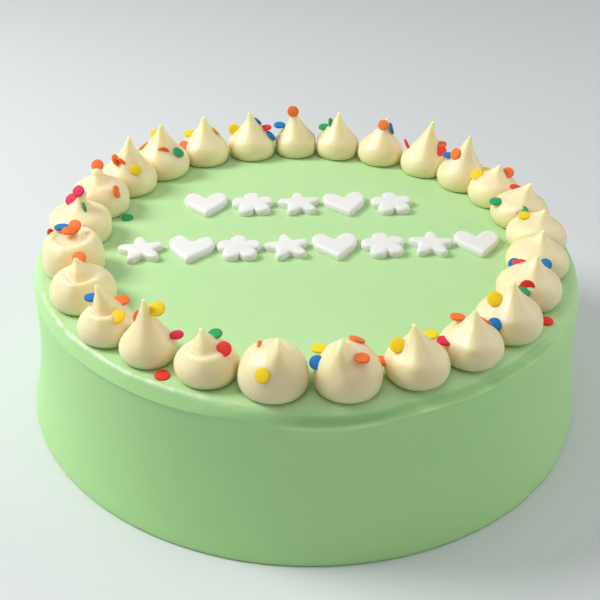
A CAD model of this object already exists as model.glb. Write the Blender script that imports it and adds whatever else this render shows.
import math
import random

import bmesh
import bpy
from mathutils import Matrix, Vector, noise


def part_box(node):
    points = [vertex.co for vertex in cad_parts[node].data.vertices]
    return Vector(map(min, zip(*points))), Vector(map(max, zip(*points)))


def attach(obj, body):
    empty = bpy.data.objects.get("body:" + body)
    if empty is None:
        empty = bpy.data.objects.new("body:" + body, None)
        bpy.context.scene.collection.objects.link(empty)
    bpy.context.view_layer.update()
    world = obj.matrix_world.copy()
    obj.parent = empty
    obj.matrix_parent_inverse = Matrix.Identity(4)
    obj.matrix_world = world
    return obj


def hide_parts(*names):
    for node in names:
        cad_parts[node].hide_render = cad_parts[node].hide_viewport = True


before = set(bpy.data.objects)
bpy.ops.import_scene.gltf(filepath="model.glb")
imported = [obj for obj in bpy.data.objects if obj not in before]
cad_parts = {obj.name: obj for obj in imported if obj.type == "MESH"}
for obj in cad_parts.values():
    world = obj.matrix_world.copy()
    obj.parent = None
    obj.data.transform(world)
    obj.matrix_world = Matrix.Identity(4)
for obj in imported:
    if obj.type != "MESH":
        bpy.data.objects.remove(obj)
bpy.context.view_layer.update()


# The iced cake
# Stacked sponge, uncut, masked in pale green buttercream with an upright palette knife. The last sweeps
# of the knife press a sloping band round the top edge, overlap at the front, and leave a flared foot.

# The frame's solids stand a small gap clear of each other. The finished pieces close it.
MM = 0.001
SOLID_GAP = 0.3 * MM
CAKE_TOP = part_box("dollop_01")[0].z - SOLID_GAP
FOOT_FLARE = 4.9 * MM
EDGE_RADIUS = 104 * MM
BAND_RADIUS = 105.2 * MM
BAND_DEPTH = 6.5 * MM
WAIST_BELOW = 19 * MM
GROOVE_DEPTH = 1.0 * MM
LIP_HEIGHT = 0.38 * MM
LIP_WIDTH = 0.75 * MM
FOOT_ROUNDING = 1.0 * MM
FOOT_SOFT_HEIGHT = 1.2 * MM
FLAT_MIDDLE = 1 * MM
HAIR = 0.001 * MM
TOP_RINGS = 32
NEAR_EDGE = (6, 4.6, 3.4, 2.5, 1.8, 1.25, 0.8, 0.4)
BAND_SHARES = (0.02, 0.05, 0.09, 0.15, 0.23, 0.32, 0.42, 0.52, 0.62, 0.71, 0.79, 0.86, 0.92, 0.96, 1)
CAKE_STEPS = 512


class Wire:
    """One socket in a material's nodes. Arithmetic on wires adds Math nodes, so a mask reads as a sum."""

    def __init__(self, tree, socket=None):
        self.tree = tree
        self.socket = socket

    def add(self, kind, settings, inputs, output=0):
        node = self.tree.nodes.new(kind)
        for name, value in settings.items():
            if name == "stops":
                self.set_stops(node.color_ramp, value)
            else:
                setattr(node, name, value)
        for name, value in inputs.items():
            if isinstance(value, Wire):
                self.tree.links.new(value.socket, node.inputs[name])
            else:
                node.inputs[name].default_value = value
        return Wire(self.tree, node.outputs[output])

    def set_stops(self, ramp, stops):
        while len(ramp.elements) < len(stops):
            ramp.elements.new(1)
        for element, (place, level) in zip(ramp.elements, stops):
            element.position = place
            element.color = (level, level, level, 1)

    def math(self, operation, first, second):
        return self.add("ShaderNodeMath", {"operation": operation}, {0: first, 1: second})

    def __add__(self, other):
        return self.math("ADD", self, other)

    def __sub__(self, other):
        return self.math("SUBTRACT", self, other)

    def __rsub__(self, other):
        return self.math("SUBTRACT", other, self)

    def __mul__(self, other):
        return self.math("MULTIPLY", self, other)

    __radd__ = __add__
    __rmul__ = __mul__


def new_material(name, constants):
    """A material with one Principled shader, its even values set on the shader's own sockets."""
    material = bpy.data.materials.new(name)
    material.use_nodes = True
    shader = material.node_tree.nodes["Principled BSDF"]
    for socket, value in constants.items():
        shader.inputs[socket].default_value = value
    return material, Wire(material.node_tree), shader


def feed(wires, shader, colour, roughness, height, distance):
    """Link what varies: colour, roughness, and a height in the wire that bumps the surface by a distance."""
    links = wires.tree.links
    links.new(colour.socket, shader.inputs["Base Color"])
    links.new(roughness.socket, shader.inputs["Roughness"])
    bump = wires.add("ShaderNodeBump", {}, {"Height": height, "Distance": distance, "Strength": 1.0})
    links.new(bump.socket, shader.inputs["Normal"])


def blend_colours(wires, mask, first, second):
    first, second = (end if isinstance(end, Wire) else (*end, 1) for end in (first, second))
    return wires.add("ShaderNodeMix", {"data_type": "RGBA"}, {0: mask, 6: first, 7: second}, 2)


def place_coordinates(wires, stretch=(1, 1, 1)):
    place = wires.add("ShaderNodeTexCoord", {}, {}, "Object")
    return wires.add("ShaderNodeMapping", {}, {"Vector": place, "Scale": stretch})


def cloud(wires, place, scale, detail=2.0, roughness=0.5):
    return wires.add("ShaderNodeTexNoise", {}, {"Vector": place, "Scale": scale, "Detail": detail,
                                                "Roughness": roughness}, 0)


def spun(outline, steps):
    """A closed turned form, from a half outline that runs down from the top of its axis to its foot."""
    form = bmesh.new()
    corners = [form.verts.new((radius, 0, height)) for radius, height in outline]
    edges = [form.edges.new(pair) for pair in zip(corners, corners[1:])]
    bmesh.ops.spin(form, geom=corners + edges, cent=(0, 0, 0), axis=(0, 0, 1), angle=2 * math.pi,
                   steps=steps, use_merge=True)
    bmesh.ops.remove_doubles(form, verts=form.verts, dist=HAIR)
    bmesh.ops.recalc_face_normals(form, faces=form.faces)
    return form


def piece(name, form, material, slot, *nodes):
    """Make the finished form an object that rides with the cake and stands for its solids."""
    mesh = bpy.data.meshes.new(name)
    form.to_mesh(mesh)
    form.free()
    mesh.shade_smooth()
    mesh.materials.append(material)
    made = bpy.data.objects.new(name, mesh)
    bpy.context.scene.collection.objects.link(made)
    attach(made, "root")
    if nodes:
        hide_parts(*nodes)
    return made


def smooth_step(value, start, end):
    share = min(1, max(0, (value - start) / (end - start)))
    return share * share * (3 - 2 * share)


def bearing_of(x, y):
    """Degrees clockwise from the back, seen from above: 90 is the right side and 180 the front."""
    return math.degrees(math.atan2(x, y)) % 360


def ripple(x, y, z, size, seed):
    return noise.noise(Vector((x / size + seed, y / size, z / size)))


def between(bearing, rising, risen, falling, fallen):
    """1 along a stretch of bearings, easing to 0 at its two ends."""
    return smooth_step(bearing, rising, risen) * (1 - smooth_step(bearing, falling, fallen))


def left_sweep(bearing):
    return between(bearing, 186, 206, 240, 264)


def right_sweep(bearing):
    return between(bearing, 112, 136, 178, 187)


def edge_radius(x, y, bearing):
    """The top's edge, which the knife cut back at the left front and more at the right front."""
    cut = 0.9 * left_sweep(bearing) + 2.4 * between(bearing, 112, 132, 160, 170)
    uneven = 0.35 * ripple(x, y, 0, 14 * MM, 31) + 0.12 * ripple(x, y, 0, 3 * MM, 35)
    return EDGE_RADIUS + (uneven - cut) * MM


def edge_rounding(bearing):
    return (1.0 - 0.6 * left_sweep(bearing) + 0.6 * right_sweep(bearing)) * MM


def band_depth(x, y, bearing):
    uneven = 0.3 * ripple(x, y, 0, 18 * MM, 41)
    deeper = 1.5 * left_sweep(bearing) + 2.4 * between(bearing, 158, 174, 182, 192)
    return (4.0 + deeper - 0.9 * between(bearing, 112, 130, 136, 150) + uneven) * MM


def corner_radius(bearing):
    return (104.7 + 0.4 * left_sweep(bearing) + 0.9 * between(bearing, 150, 165, 178, 187)) * MM


def band_radius(x, y, bearing, share):
    """The band between the edge and its lower corner: a slope at the left, a groove at the right."""
    edge, corner = edge_radius(x, y, bearing), corner_radius(bearing)
    groove = GROOVE_DEPTH * right_sweep(bearing) * math.sin(math.pi * share ** 2)
    return edge + (corner - edge) * share - groove


def side_radius(x, y, bearing, under, below):
    """The side under the band, which stands a little proud of it before the foot flares out."""
    right = math.sin(math.radians(bearing))
    drop = max(0, (below - WAIST_BELOW) / (CAKE_TOP - WAIST_BELOW))
    flare = FOOT_FLARE * drop ** (1.55 - 0.4 * right)
    bead = 0.2 * MM * math.exp(-((CAKE_TOP - below - 3 * MM) / (4 * MM)) ** 2)
    uneven = 0.35 * right + 0.25 * ripple(x, y, below, 45 * MM, 3) + 0.05 * ripple(x, y, below / 6, 5 * MM, 9)
    proud = 0.1 + 0.5 * left_sweep(bearing) + 0.3 * right_sweep(bearing)
    undercut = proud * MM * (1 - math.exp(-(under / (0.5 * MM)) ** 2)) * math.exp(-under / (9 * MM))
    settled = smooth_step(under, 0, 6 * MM)
    base = corner_radius(bearing) * (1 - settled) + BAND_RADIUS * settled
    return base + flare + bead - undercut + uneven * MM * settled


def lip_height(x, y, bearing, away):
    """A ragged raised lip, left along the edge where the knife came off."""
    ragged = 0.6 + 0.9 * ripple(x, y, 0, 5 * MM, 51) + 0.5 * ripple(x, y, 0, 1.6 * MM, 53)
    return LIP_HEIGHT * max(0, ragged) * left_sweep(bearing) * math.exp(-(away / LIP_WIDTH) ** 2)


def shade(bearing, share):
    """How much deeper the green is where the knife packed the icing. The share is 0 at the top's edge
    and 1 at the band's lower corner."""
    top = smooth_step(share, -0.9, 0)
    band = smooth_step(share, 0.02, 0.25) * (1 - smooth_step(share, 0.8, 1.1))
    left, right = left_sweep(bearing), right_sweep(bearing)
    return left * (0.3 * top * (1 - band) + 0.25 * band) + 0.85 * right * band


def foot_crumbs(x, y, height):
    """The foot is ragged where the knife lifted away, most of all at the right front."""
    bearing = bearing_of(x, y)
    worst = smooth_step(bearing, 85, 110) * (1 - smooth_step(bearing, 135, 160))
    near_foot = math.exp(-(height / (3 * MM)) ** 2)
    return (0.12 + 0.5 * worst) * MM * near_foot * ripple(x, y, height, 2.6 * MM, 21)


def cake_outline():
    last = EDGE_RADIUS - NEAR_EDGE[0] * MM
    outline = [(0, CAKE_TOP)] + [(ring / TOP_RINGS * last, CAKE_TOP) for ring in range(1, TOP_RINGS)]
    outline += [(EDGE_RADIUS - inside * MM, CAKE_TOP) for inside in NEAR_EDGE] + [(EDGE_RADIUS, CAKE_TOP)]
    outline += [(BAND_RADIUS, CAKE_TOP - share * BAND_DEPTH) for share in BAND_SHARES]
    below, step = BAND_DEPTH, 0.2 * MM
    while below + step < CAKE_TOP - 1.4 * MM:
        below += step
        outline.append((BAND_RADIUS, CAKE_TOP - below))
        step = min(1.05 * MM, step * 1.12)
    outline += [(BAND_RADIUS, 1.2 * MM), (BAND_RADIUS, 0.5 * MM), (BAND_RADIUS, 0)]
    outline += [(ring / 8 * BAND_RADIUS, 0) for ring in range(7, -1, -1)]
    return outline


def on_top(x, y, radius, bearing):
    """The top, a little uneven, out to the edge that the knife cut and rounded over."""
    edge, rounding = edge_radius(x, y, bearing), edge_rounding(bearing)
    outermost = (radius / EDGE_RADIUS) ** 6
    grown = radius * (1 - (1 - edge / EDGE_RADIUS) * outermost)
    inside = edge - grown
    raised = 0.1 * MM * smooth_step(inside, 0, 6 * MM) * (ripple(x, y, 0, 30 * MM, 5) - 0.6)
    raised -= rounding * math.exp(-inside / rounding)
    return grown - rounding * outermost, raised, lip_height(x, y, bearing, inside), -inside / BAND_DEPTH


def on_band(x, y, below, bearing):
    rounding = edge_rounding(bearing)
    share = below / BAND_DEPTH
    fall = share * (band_depth(x, y, bearing) - rounding)
    grown = band_radius(x, y, bearing, share) - rounding * math.exp(-fall / rounding)
    return grown, below - rounding - fall, lip_height(x, y, bearing, fall), share


def on_side(x, y, z, bearing):
    """The side, moved with the band's lower corner, and rounded under at the foot."""
    below, depth = CAKE_TOP - z, band_depth(x, y, bearing)
    under = (below - BAND_DEPTH) * (CAKE_TOP - depth) / (CAKE_TOP - BAND_DEPTH)
    raised = below - depth - under
    grown = side_radius(x, y, bearing, under, depth + under) + foot_crumbs(x, y, z + raised)
    near_foot = 1 - min(1, (z + raised) / FOOT_SOFT_HEIGHT)
    grown -= FOOT_ROUNDING * (1 - math.sqrt(1 - near_foot ** 2))
    return grown, raised, 0, 1 + under / depth


def on_underside(radius):
    return radius * (1 + (FOOT_FLARE - FOOT_ROUNDING) / BAND_RADIUS), 0, 0, CAKE_TOP / BAND_DEPTH


def iced_cake():
    """A turned cake, each of its corners then moved to where the knife left the icing there."""
    form = spun(cake_outline(), CAKE_STEPS)
    tone = form.verts.layers.float.new("tone")
    for corner in form.verts:
        x, y, z = corner.co
        radius, below, bearing = math.hypot(x, y), CAKE_TOP - z, bearing_of(x, y)
        if radius < FLAT_MIDDLE:
            continue
        if below < HAIR:
            grown, raised, lip, share = on_top(x, y, radius, bearing)
        elif below <= BAND_DEPTH + HAIR:
            grown, raised, lip, share = on_band(x, y, below, bearing)
        elif z > HAIR:
            grown, raised, lip, share = on_side(x, y, z, bearing)
        else:
            grown, raised, lip, share = on_underside(radius)
        pale = lip / LIP_HEIGHT
        corner[tone] = 1.2 * pale - shade(bearing, share) * max(0, 1 - pale)
        corner.co = Vector((x * grown / radius, y * grown / radius, z + raised + lip))
    return form


def green_buttercream():
    material, wires, shader = new_material("green_buttercream", {
        "Subsurface Weight": 0.12, "Subsurface Radius": (0.6, 1.0, 0.45), "Subsurface Scale": 0.004,
        "Specular IOR Level": 0.4})
    place = place_coordinates(wires)
    smeared = place_coordinates(wires, (1, 1, 0.12))
    patches = cloud(wires, place, 28, 3)
    smears = cloud(wires, smeared, 170, 2)
    grain = cloud(wires, place, 900, 2)
    cells = wires.add("ShaderNodeTexVoronoi", {}, {"Vector": place, "Scale": 62})
    pits = wires.add("ShaderNodeValToRGB", {"stops": [(0.0, 0.0), (0.05, 1.0)]}, {"Fac": cells})
    mask = patches * 0.7 + smears * 0.3
    top = blend_colours(wires, mask, (0.46, 0.74, 0.33), (0.53, 0.77, 0.395))
    side = blend_colours(wires, mask, (0.46, 0.82, 0.32), (0.53, 0.85, 0.38))
    height = wires.add("ShaderNodeSeparateXYZ", {}, {"Vector": place}, "Z")
    upper = wires.add("ShaderNodeMapRange", {}, {"Value": height, "From Min": CAKE_TOP - 2.5 * MM,
                                                 "From Max": CAKE_TOP - 0.5 * MM})
    tone = wires.add("ShaderNodeAttribute", {"attribute_name": "tone"}, {}, "Fac")
    colour = blend_colours(wires, 0 - tone, blend_colours(wires, upper, side, top), (0.365, 0.66, 0.255))
    colour = blend_colours(wires, tone * 0.8, colour, (0.80, 0.95, 0.70))
    roughness = 0.38 + 0.16 * smears
    height = patches * 0.5 + smears * 0.25 + grain * 0.06 + pits * 0.35
    feed(wires, shader, colour, roughness, height, 0.25 * MM)
    return material


piece("iced_cake", iced_cake(), green_buttercream(), "green_buttercream", "cake")


# The piped dollops
# Cream-coloured buttercream, pressed from a plain round tip held upright, then pulled off into a thin
# peak. They were piped close enough to flatten where they touch, and some folded over as the tip left.

RING_RADIUS = 90.2 * MM
BULB_CENTRE = 0.40
PEAK_TIP = 0.08
PEAK_POWER = 1.5
CONTACT_SOFTNESS = 1.5 * MM
DOLLOP_STEPS = 40
PEAK_RINGS = 16
BULB_RINGS = 12
HALVINGS = 20
SUNK = 0.35 * MM

# Clockwise as piped, from the back left: bearing from the back in degrees, how far out of the ring,
# width, height and the peak's lean to the right in mm, how tall the bulb is against its width, then the
# confetti on it as colour, clock and height in mm, with 12 at the back. A disc lies flat unless a pose
# follows, and a last number says how far it stands out of the cream, as a share of its radius.
DOLLOPS = [
    (-45, 1, 24, 22.5, 0, 0.73, "orange 9.5 11, yellow 10.7 15 fin, orange 5.6 13 deep -0.6, green 3.9 11.3"),
    (-31, 1.5, 22, 20.5, 0, 0.73, "orange 8.2 8.3 face 0, yellow 9.5 11.3 shelf, yellow 2.1 13"),
    (-17, 0, 22, 20, -1, 0.73, "yellow 9.3 10.5 fin, blue 1.5 15, blue 3.1 9.3, red 2.6 12 shelf"),
    (-4, 0, 20.5, 20.5, -1.5, 0.73, "blue 9.2 11.3 shelf 0.95, orange 6.3 20.2"),
    (8, 0, 21, 20, 0.5, 0.73, "green 9.8 11.3 shelf, green 9.5 14.5 deep"),
    (21, -0.5, 21, 20, 2.5, 0.73, "orange 7.3 17.5, blue 3.1 15.2 edge 1"),
    (35, -0.5, 21.5, 23.5, 2.5, 0.73, "red 9.6 10.5 edge 0.5, orange 3.4 13 shelf, red 4.2 11.3 face"),
    (48, -0.5, 22, 23, 2, 0.73, "blue 9.5 12.5 shelf, orange 8.4 15, yellow 3.7 8.3 shelf 0.1"),
    (60, 0.5, 22, 16.5, 1.5, 0.73, "orange 3 12.5 face, yellow 9.4 10.5 face"),
    (73, 0.5, 24, 17.5, 2.8, 0.68, "red 11.6 11.5 shelf, green 8.7 9.3 shelf, green 6.2 9.6 face"),
    (86, 0, 24, 16, 2, 0.68, "yellow 9.4 12.3 shelf, blue 6.4 7.5 deep -0.7"),
    (99, -2, 24, 17.5, 0.6, 0.68, "blue 7.8 7 face, blue 5.9 9 face 0.6"),
    (113, -2.5, 24, 18.5, 1.3, 0.70, "red 11.5 10 shelf 0, green 6.8 9.2 face 0.6, red 6.6 10.5 deep 0.1"),
    (128, -1, 24, 19.5, 0, 0.73, "yellow 8.4 13.3 face 0.5, blue 7.2 8"),
    (142, 0, 22, 18, 0, 0.73, "orange 10.1 12.4 shelf 0.7, crimson 8.4 8 shelf 0, orange 1.3 11"),
    (156, 0, 22, 19.5, -2, 0.73,
     "yellow 8.6 11.8 face 0.5, yellow 1.5 12.3 shelf 0.4, orange 8.9 5.5 shelf 0.2"),
    (171, 0.5, 22.5, 16.7, -1, 1.04,
     "orange 1 15, orange 4.8 14.3 shelf 0.4, yellow 9.8 11 shelf, blue 8.7 10 face 0"),
    (186, 1, 23.5, 16.2, 0, 0.96, "orange 9.8 15 edge -0.7, yellow 5.9 16.1 fin, yellow 6.6 11"),
    (200, 0.5, 21.5, 17.5, -1.5, 0.73, "green 1.3 13 shelf, red 3.8 11.3 face"),
    (214, 1.5, 19.5, 22, -0.5, 0.73,
     "yellow 3 18 face 0.7, crimson 3 7.8 shelf 0.7, orange 10 14.5 deep -0.5"),
    (226, 2.5, 20.5, 19.5, -2.5, 0.73, "blue 9.8 13.3 shelf, orange 1.5 10.8 shelf, yellow 4.5 10.5 face"),
    (241, 0, 24, 17.5, -1.5, 0.73, "orange 11.8 15.5 face"),
    (256, -1, 22.5, 16.6, 1, 0.98,
     "red 10 12 edge -0.4, blue 10.6 14.9 shelf 0, orange 9 16.3 shelf 0, orange 12.2 15.8 face"),
    (273, -1, 24, 19, 2.2, 0.62, "crimson 10 14 face 0.3, crimson 9 19.6 face 0, green 4 14 edge -0.8"),
    (288, -0.5, 24, 17.5, -0.7, 0.75, "orange 12 18.8 face 0, orange 4.2 11 edge 0"),
    (302, 0, 24, 23.5, 1, 0.73, "orange 7.5 14.5 edge, orange 6.9 14.2 deep, yellow 5 12"),
]

# What the hand left on single dollops, by number: a bulb squashed square, a peak with hollower sides or
# a blunter tip, a folded collar, a nose from its root to its end across the front in mm, a sunken top,
# and a ridge up the front that is stronger than the usual one.
SQUASHED = {23: 3.6, 24: 3.4, 25: 2.4}
HOLLOW_SIDED = {24: 3, 25: 2}
BLUNT = {17: 0.14, 18: 0.14, 24: 0.13, 25: 0.17}
FOLDED = {19: 0.8, 21: 1.2, 22: 1.0, 25: 0.3}
NOSED = {17: (-2.2, -3.8), 18: (0.8, 2.4)}
HOLLOWED = {23: 0.17}
RIDGED = {10: 0.3, 11: 0.3, 12: 0.2, 13: 0.25, 14: 0.3, 15: 0.35, 16: 0.3, 22: 0.2}
USUAL_RIDGE = 0.1
RIDGE_BEARING = 188
RIDGE_WIDTH = 17
COLLAR_REACH = 0.66
COLLAR_FOLD_REACH = 0.42
COLLAR_WIDTH = 0.10
NOSE_LIFT = 0.5
NOSE_REACH = 0.75
NOSE_WIDTH = 2.3 * MM


def from_back(degrees, radius):
    """Plan position at a bearing, clockwise seen from above, 0 at the back."""
    return Vector((radius * math.sin(math.radians(degrees)), radius * math.cos(math.radians(degrees))))


class DollopForm:
    """A dollop's section: a bulb that is round or squashed square, then a hollow-sided peak."""

    def __init__(self, number):
        width, tall, right, self.plump = DOLLOPS[number - 1][2:6]
        self.number = number
        self.spread = width / 2 * MM
        self.height = tall * MM
        self.lean = right * MM
        self.square = SQUASHED.get(number, 2)
        self.tip = BLUNT.get(number, PEAK_TIP) * self.spread
        self.power = HOLLOW_SIDED.get(number, PEAK_POWER)
        self.shoulder = self.find_shoulder()

    def bulb(self, up):
        level = abs(up / self.spread - BULB_CENTRE) / self.plump
        return self.spread * max(0, 1 - level ** self.square) ** (1 / self.square)

    def find_shoulder(self):
        """The height where the peak leaves the bulb without a crease, found by halving."""
        low, high = BULB_CENTRE * self.spread, min(self.height, (BULB_CENTRE + self.plump) * self.spread)
        step = 0.05 * MM
        for halving in range(HALVINGS):
            middle = (low + high) / 2
            slope = (self.bulb(middle - step) - self.bulb(middle)) / step
            if slope * (self.height - middle) < self.power * (self.bulb(middle) - self.tip):
                low = middle
            else:
                high = middle
        return middle

    def radius(self, up):
        if up <= self.shoulder:
            return self.bulb(up)
        rise = min(1, (up - self.shoulder) / (self.height - self.shoulder))
        return self.tip + (self.bulb(self.shoulder) - self.tip) * (1 - rise) ** self.power

    def lean_at(self, up):
        return self.lean * min(1, max(0, (up - self.shoulder) / (self.height - self.shoulder))) ** 1.5

    def outline(self):
        above = self.height - self.shoulder
        peak = [self.height - above * (ring / PEAK_RINGS) ** 1.1 for ring in range(PEAK_RINGS + 1)]
        quarter = math.radians(90)
        bulb = [self.shoulder * math.cos(quarter * ring / BULB_RINGS) for ring in range(1, BULB_RINGS)]
        rings = [(0.55 * self.tip, self.height + 0.30 * self.tip)]
        rings += [(self.radius(up), up) for up in peak + bulb]
        return [(0, self.height + 0.45 * self.tip)] + rings + [(self.radius(0), 0), (0, 0)]


def press(point, walls):
    """Flatten a point's reach softly against the planes where the dollop meets its neighbours."""
    for direction, limit in walls:
        reach = point.xy.dot(direction)
        start = limit - CONTACT_SOFTNESS
        if reach > start:
            eased = limit - CONTACT_SOFTNESS * math.exp((start - reach) / CONTACT_SOFTNESS)
            point = point + Vector((*(direction * (eased - reach)), 0))
    return point


def contact_walls(index, centres):
    walls = []
    for other in (index - 1, (index + 1) % len(centres)):
        away = centres[other] - centres[index]
        share = DOLLOPS[index][2] / (DOLLOPS[index][2] + DOLLOPS[other][2])
        walls.append((away.normalized(), away.length * share))
    return walls


def hand_marks(point, form):
    """What the hand leaves: a bulb not quite round, a ridge up the peak, a collar, a nose or a hollow."""
    around = (bearing_of(point.x, point.y) - RIDGE_BEARING + 180) % 360 - 180
    level = point.z / form.spread
    reach = math.hypot(point.x, point.y) / form.spread
    grow = 1 + 0.03 * ripple(point.x, point.y, point.z, 9 * MM, form.number * 7)
    ridge = RIDGED.get(form.number, USUAL_RIDGE)
    grow += ridge * smooth_step(level, 0.6, 1.0) * math.exp(-(around / RIDGE_WIDTH) ** 2)
    lift = 0
    if form.number in FOLDED:
        front = max(0, math.cos(math.radians(around * 0.7))) ** 2
        upper = FOLDED[form.number] * front * smooth_step(level, 0.7, 0.9)
        lift += 0.10 * upper * math.exp(-((reach - COLLAR_REACH) / COLLAR_WIDTH) ** 2)
        lift -= 0.20 * upper * math.exp(-((reach - COLLAR_FOLD_REACH) / COLLAR_WIDTH) ** 2)
    if form.number in NOSED:
        root, end = NOSED[form.number]
        forward = -point.y / form.spread
        middle = (root + (end - root) * forward / NOSE_REACH) * MM
        along = smooth_step(forward, 0.0, 0.3) * (1 - smooth_step(forward, 0.66, NOSE_REACH))
        across = math.exp(-((point.x - middle) / NOSE_WIDTH) ** 2)
        lift += NOSE_LIFT * along * smooth_step(level, 0.5, 0.7) * across
    if form.number in HOLLOWED:
        inside = (1 - smooth_step(reach, 0.5, 0.7)) * smooth_step(level, 1.2, 1.4)
        bump = math.exp(-((point.x - 3.5 * MM) ** 2 + point.y ** 2) / (2.2 * MM) ** 2)
        lift -= HOLLOWED[form.number] * inside * (1 - 1.5 * bump)
    return Vector((point.x * grow, point.y * grow, point.z + lift * form.spread))


def cream_buttercream():
    material, wires, shader = new_material("cream_buttercream", {
        "Subsurface Weight": 0.9, "Subsurface Radius": (1.0, 0.72, 0.2), "Subsurface Scale": 0.0065,
        "Specular IOR Level": 0.6})
    place = place_coordinates(wires)
    patches = cloud(wires, place, 60, 2)
    grain = cloud(wires, place, 700, 2)
    colour = blend_colours(wires, patches, (0.98, 0.785, 0.46), (1.0, 0.825, 0.545))
    roughness = 0.36 + 0.12 * patches
    feed(wires, shader, colour, roughness, patches * 0.6 + grain * 0.08, 0.15 * MM)
    return material


def piped_dollop(index, centres):
    section = DollopForm(index + 1)
    walls = contact_walls(index, centres)
    foot = Vector((*centres[index], CAKE_TOP - SUNK))
    form = spun(section.outline(), DOLLOP_STEPS)
    for corner in form.verts:
        point = hand_marks(corner.co.copy(), section)
        point.x += section.lean_at(corner.co.z)
        corner.co = press(point, walls) + foot
    return form


dollop_centres = [from_back(row[0], RING_RADIUS + row[1] * MM) for row in DOLLOPS]
cream = cream_buttercream()
for index in range(len(DOLLOPS)):
    name = f"{index + 1:02d}"
    dollop = piece("piped_dollop_" + name, piped_dollop(index, dollop_centres), cream,
                   "cream_buttercream", "dollop_" + name)
    finer = dollop.modifiers.new("Finer", "SUBSURF")
    finer.levels = finer.render_levels = 1


# The confetti
# Round discs pressed from coloured sugar paste, about five millimetres across, scattered by hand while
# the cream was soft. Most lie on it, some stuck in on edge, and three fell on the icing.

CONFETTI_RADIUS = 2.6 * MM
CONFETTI_THICKNESS = 0.9 * MM
CONFETTI_EDGE = 0.3 * MM
CONFETTI_STAND = 0.3
DEEP_STAND = -0.2
DEEP_TILT = 1.2
EDGE_FACING = (0.9, -0.1, 0.42)
FRONT_FACING = (-0.22, -0.64, 0.74)
CONFETTI_SIDES = 24
CONFETTI_WOBBLE = 0.13
CONFETTI_COLOURS = {
    "orange": (0.98, 0.18, 0.025),
    "yellow": (0.98, 0.68, 0.0),
    "red": (0.88, 0.035, 0.015),
    "crimson": (0.78, 0.02, 0.08),
    "green": (0.015, 0.36, 0.11),
    "blue": (0.0, 0.19, 0.54),
}
STRAYS = [("red", 120, 98), ("red", 207.5, 98.5), ("green", 285, 76)]


def disc_on_dollop(words, section, walls):
    """Centre and facing of a disc, from its clock, height, pose and how far it stands out of the cream."""
    clock, up = float(words[1]), float(words[2]) * MM
    pose = words[3] if len(words) > 3 else "flat"
    share = DEEP_STAND if pose == "deep" else CONFETTI_STAND
    if len(words) > 4:
        share = float(words[4])
    out = Vector((*from_back(clock * 30, 1), 0))
    step = 0.2 * MM
    slope = (section.radius(up + step) - section.radius(up - step)) / (2 * step)
    surface = out * section.radius(up) + Vector((section.lean_at(up), 0, up))
    normal = (out - Vector((0, 0, slope))).normalized()
    along = Vector((0, 0, 1)).cross(out)
    facing = {"flat": normal, "shelf": Vector((0, 0, 1)), "fin": along, "edge": Vector(EDGE_FACING),
              "face": Vector(FRONT_FACING), "deep": normal + along.cross(normal) * DEEP_TILT}[pose]
    facing.normalize()
    on_edge = math.sqrt(max(0, 1 - facing.dot(normal) ** 2))
    stand = share * CONFETTI_RADIUS * on_edge + 0.3 * CONFETTI_THICKNESS
    return press(surface, walls) + normal * stand, facing


def add_disc(form, centre, facing, draw):
    """One pressed disc with soft rims, a little off round and off true."""
    wobble = Vector([draw.uniform(-CONFETTI_WOBBLE, CONFETTI_WOBBLE) for axis in range(3)])
    turn = (facing + wobble).to_track_quat("Z", "Y").to_matrix().to_4x4()
    size = draw.uniform(0.93, 1.06)
    shape = Matrix.Diagonal((size, size * draw.uniform(0.95, 1.0), 1, 1))
    disc = bmesh.new()
    bmesh.ops.create_cone(disc, cap_ends=True, segments=CONFETTI_SIDES, radius1=CONFETTI_RADIUS,
                          radius2=CONFETTI_RADIUS, depth=CONFETTI_THICKNESS)
    rims = [edge for edge in disc.edges if len(edge.link_faces) == 2
            and max(len(face.verts) for face in edge.link_faces) > 4]
    bmesh.ops.bevel(disc, geom=rims, offset=CONFETTI_EDGE, offset_type="OFFSET", segments=2, profile=0.5,
                    affect="EDGES", material=-1)
    bmesh.ops.transform(disc, matrix=Matrix.Translation(centre) @ turn @ shape, verts=disc.verts)
    bmesh.ops.recalc_face_normals(disc, faces=disc.faces)
    loose = bpy.data.meshes.new("disc")
    disc.to_mesh(loose)
    disc.free()
    form.from_mesh(loose)
    bpy.data.meshes.remove(loose)


def pressed_sugar(name, colour):
    material, wires, shader = new_material(name, {"Specular IOR Level": 0.2})
    place = place_coordinates(wires)
    grain = cloud(wires, place, 1800, 3, 0.6)
    batches = cloud(wires, place, 45, 1)
    pale = tuple(min(1, 0.95 * channel + 0.03) for channel in colour)
    colour = blend_colours(wires, 0.75 * batches + 0.25 * grain, colour, pale)
    feed(wires, shader, colour, 0.42 + 0.25 * grain, grain, 0.12 * MM)
    return material


confetti_forms = {colour: bmesh.new() for colour in CONFETTI_COLOURS}
draw = random.Random(11)
for index, row in enumerate(DOLLOPS):
    foot = Vector((*dollop_centres[index], CAKE_TOP - SUNK))
    for entry in row[-1].split(", "):
        words = entry.split()
        centre, facing = disc_on_dollop(words, DollopForm(index + 1), contact_walls(index, dollop_centres))
        add_disc(confetti_forms[words[0]], centre + foot, facing, draw)
for colour, bearing, radius in STRAYS:
    centre = Vector((*from_back(bearing, radius * MM), CAKE_TOP + CONFETTI_THICKNESS * CONFETTI_STAND))
    add_disc(confetti_forms[colour], centre, Vector((0, 0, 1)), draw)
for colour, form in confetti_forms.items():
    piece("confetti_" + colour, form, pressed_sugar(colour + "_sugar", CONFETTI_COLOURS[colour]),
          "sugar_confetti")


# The fondant cut-outs
# Rolled white fondant, three millimetres thick, stamped with plunger cutters and laid on the icing in
# two rows. Stamping rounds the upper edges over and leaves the lower ones nearly sharp.

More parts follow.
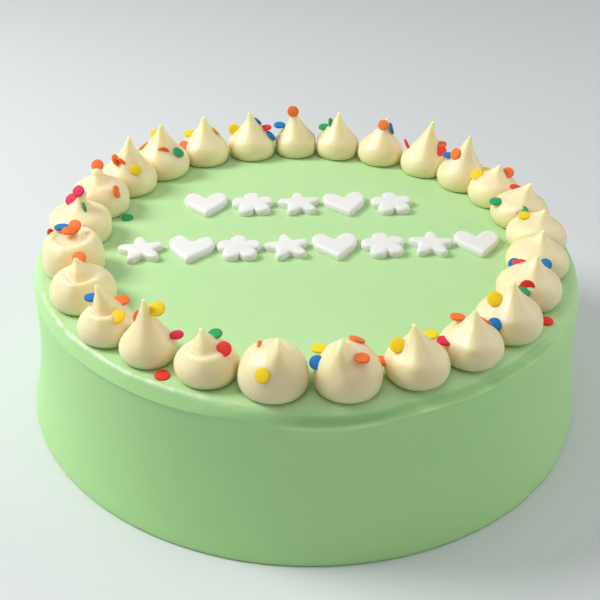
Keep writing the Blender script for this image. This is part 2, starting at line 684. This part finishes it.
CUTOUT_WIDTH = 18.0 * MM
CUTOUT_THICKNESS = 3.0 * MM
CUTOUT_TILT = 9
CUTOUT_SUNK = 0.1 * MM
TOP_ROUNDING = 1.5 * MM
ROWS = [
    {"count": 5, "pitch": 19.4 * MM, "centre": (-3.5 * MM, 33.5 * MM), "turn": 4},
    {"count": 8, "pitch": 18.8 * MM, "centre": (2.0 * MM, -2.5 * MM), "turn": 5.5},
]
SHAPES = ["heart", "flower", "star"]
OUTLINE_STEPS = 80
RING_SHARES = (0.25, 0.5, 0.65, 0.75, 0.82, 0.87, 0.91, 0.94, 0.965, 0.985, 0.996)


def heart_point(turn):
    """The well-known heart curve, a little plumper, divided by its own width and height."""
    across = 13.2 * math.sin(turn) - 2.4 * math.sin(3 * turn)
    along = 13 * math.cos(turn) - 5 * math.cos(2 * turn) - 2 * math.cos(3 * turn) - math.cos(4 * turn)
    return Vector((across / 31.2, (along + 2.5) / 29))


def flower_point(turn):
    """Five round petals: the outer arcs of five circles set round a centre."""
    petal, reach = 0.19, 0.31
    off = (turn + math.pi / 5) % (2 * math.pi / 5) - math.pi / 5
    radius = reach * math.cos(off) + math.sqrt(petal ** 2 - min(petal, reach * math.sin(off)) ** 2)
    return radius * Vector((math.sin(turn), math.cos(turn)))


def star_point(turn):
    """Five blunt arms: the radius swings between the tips and the hollows."""
    swing = 0.5 + 0.5 * math.cos(5 * turn)
    return (0.285 + 0.225 * swing ** 1.15) * Vector((math.sin(turn), math.cos(turn)))


POINTS = {"heart": heart_point, "flower": flower_point, "star": star_point}


def stamped(shape, place, degrees):
    """A turned disc drawn out to the shape, its upper face rounded over by how near its edge is."""
    outline = [POINTS[shape](2 * math.pi * step / OUTLINE_STEPS) * CUTOUT_WIDTH
               for step in range(OUTLINE_STEPS)]
    section = [(0, 1)] + [(share, 1) for share in RING_SHARES] + [(1, 0.5), (1, 0.1), (0.985, 0), (0, 0)]
    form = spun(section, OUTLINE_STEPS)
    for corner in form.verts:
        share, level = corner.co.xy.length, corner.co.z
        step = round(math.atan2(corner.co.x, corner.co.y) / (2 * math.pi) * OUTLINE_STEPS)
        point = outline[step % OUTLINE_STEPS] * share
        inside = min((point - edge).length for edge in outline) if level > 0.4 else 0
        drop = TOP_ROUNDING - math.sqrt(TOP_ROUNDING ** 2 - max(0, TOP_ROUNDING - inside) ** 2)
        height = CUTOUT_THICKNESS - drop if level > 0.4 else level * CUTOUT_THICKNESS
        corner.co = (*point, height)
    turn = Matrix.Rotation(math.radians(degrees), 4, "Z")
    matrix = Matrix.Translation((*place, CAKE_TOP - CUTOUT_SUNK)) @ turn
    bmesh.ops.transform(form, matrix=matrix, verts=form.verts)
    return form


def white_fondant():
    material, wires, shader = new_material("white_fondant", {
        "Subsurface Weight": 0.15, "Subsurface Radius": (1.0, 0.9, 0.8), "Subsurface Scale": 0.002,
        "Specular IOR Level": 0.4})
    place = place_coordinates(wires)
    patches = cloud(wires, place, 120, 3)
    grain = cloud(wires, place, 1200, 2)
    colour = blend_colours(wires, patches, (0.80, 0.80, 0.76), (0.86, 0.86, 0.83))
    feed(wires, shader, colour, 0.42 + 0.2 * patches, patches * 0.7 + grain * 0.15, 0.12 * MM)
    return material


fondant = white_fondant()
draw = random.Random(5)
number = 0
for row in ROWS:
    turn = math.radians(row["turn"])
    along = Vector((math.cos(turn), math.sin(turn)))
    for step in range(row["count"]):
        place = Vector(row["centre"]) + along * (step - (row["count"] - 1) / 2) * row["pitch"]
        tilt = row["turn"] + draw.uniform(-CUTOUT_TILT, CUTOUT_TILT)
        shape = SHAPES[number % len(SHAPES)]
        number += 1
        piece(f"fondant_{shape}_{number:02d}", stamped(shape, place, tilt), fondant, "white_fondant",
              f"cutout_{number:02d}")


# The studio
# A plain pale floor under a large soft light from the left and a little behind. A wide soft light hangs
# overhead, a weak fill comes from the right, and the camera looks down on the front edge.

FLOOR_SIZE = 4.0
FLOOR_COLOUR = (0.71, 0.735, 0.735, 1)
WORLD_COLOUR = (0.95, 0.98, 1.0, 1)
WORLD_STRENGTH = 0.28
CAMERA_PLACE = (0, -0.3638, 0.2658)
CAMERA_TURN = (57.75, -1.17, 1.08)
CAMERA_LENS = 63.9
LIGHTS = {
    "key": {"bearing": 278, "elevation": 44, "distance": 1.0, "size": 0.4, "power": 7.6},
    "overhead": {"bearing": 180, "elevation": 86, "distance": 1.2, "size": 0.9, "power": 2.9},
    "fill": {"bearing": 80, "elevation": 25, "distance": 1.4, "size": 1.0, "power": 5},
}


def studio_floor():
    form = bmesh.new()
    bmesh.ops.create_grid(form, x_segments=1, y_segments=1, size=FLOOR_SIZE / 2)
    mesh = bpy.data.meshes.new("floor")
    form.to_mesh(mesh)
    form.free()
    mesh.materials.append(new_material("pale_floor", {"Base Color": FLOOR_COLOUR, "Roughness": 0.5})[0])
    floor = bpy.data.objects.new("floor", mesh)
    bpy.context.scene.collection.objects.link(floor)


def soft_light(name, bearing, elevation, distance, size, power):
    lamp = bpy.data.lights.new(name, "AREA")
    lamp.shape = "DISK"
    lamp.size = size
    lamp.energy = power
    light = bpy.data.objects.new(name, lamp)
    rise = math.radians(elevation)
    flat = from_back(bearing, distance * math.cos(rise))
    light.location = (flat.x, flat.y, distance * math.sin(rise))
    light.rotation_euler = (-light.location).to_track_quat("-Z", "Y").to_euler()
    bpy.context.scene.collection.objects.link(light)


def photo_camera():
    camera = bpy.data.objects.new("camera", bpy.data.cameras.new("camera"))
    camera.data.lens = CAMERA_LENS
    camera.data.sensor_width = 36
    camera.location = CAMERA_PLACE
    camera.rotation_euler = [math.radians(turn) for turn in CAMERA_TURN]
    bpy.context.scene.collection.objects.link(camera)
    bpy.context.scene.camera = camera


studio_floor()
for name, light in LIGHTS.items():
    soft_light(name, **light)
photo_camera()
world = bpy.data.worlds.new("studio")
world.use_nodes = True
world.node_tree.nodes["Background"].inputs["Color"].default_value = WORLD_COLOUR
world.node_tree.nodes["Background"].inputs["Strength"].default_value = WORLD_STRENGTH
bpy.context.scene.world = world
bpy.context.scene.view_settings.view_transform = "Standard"
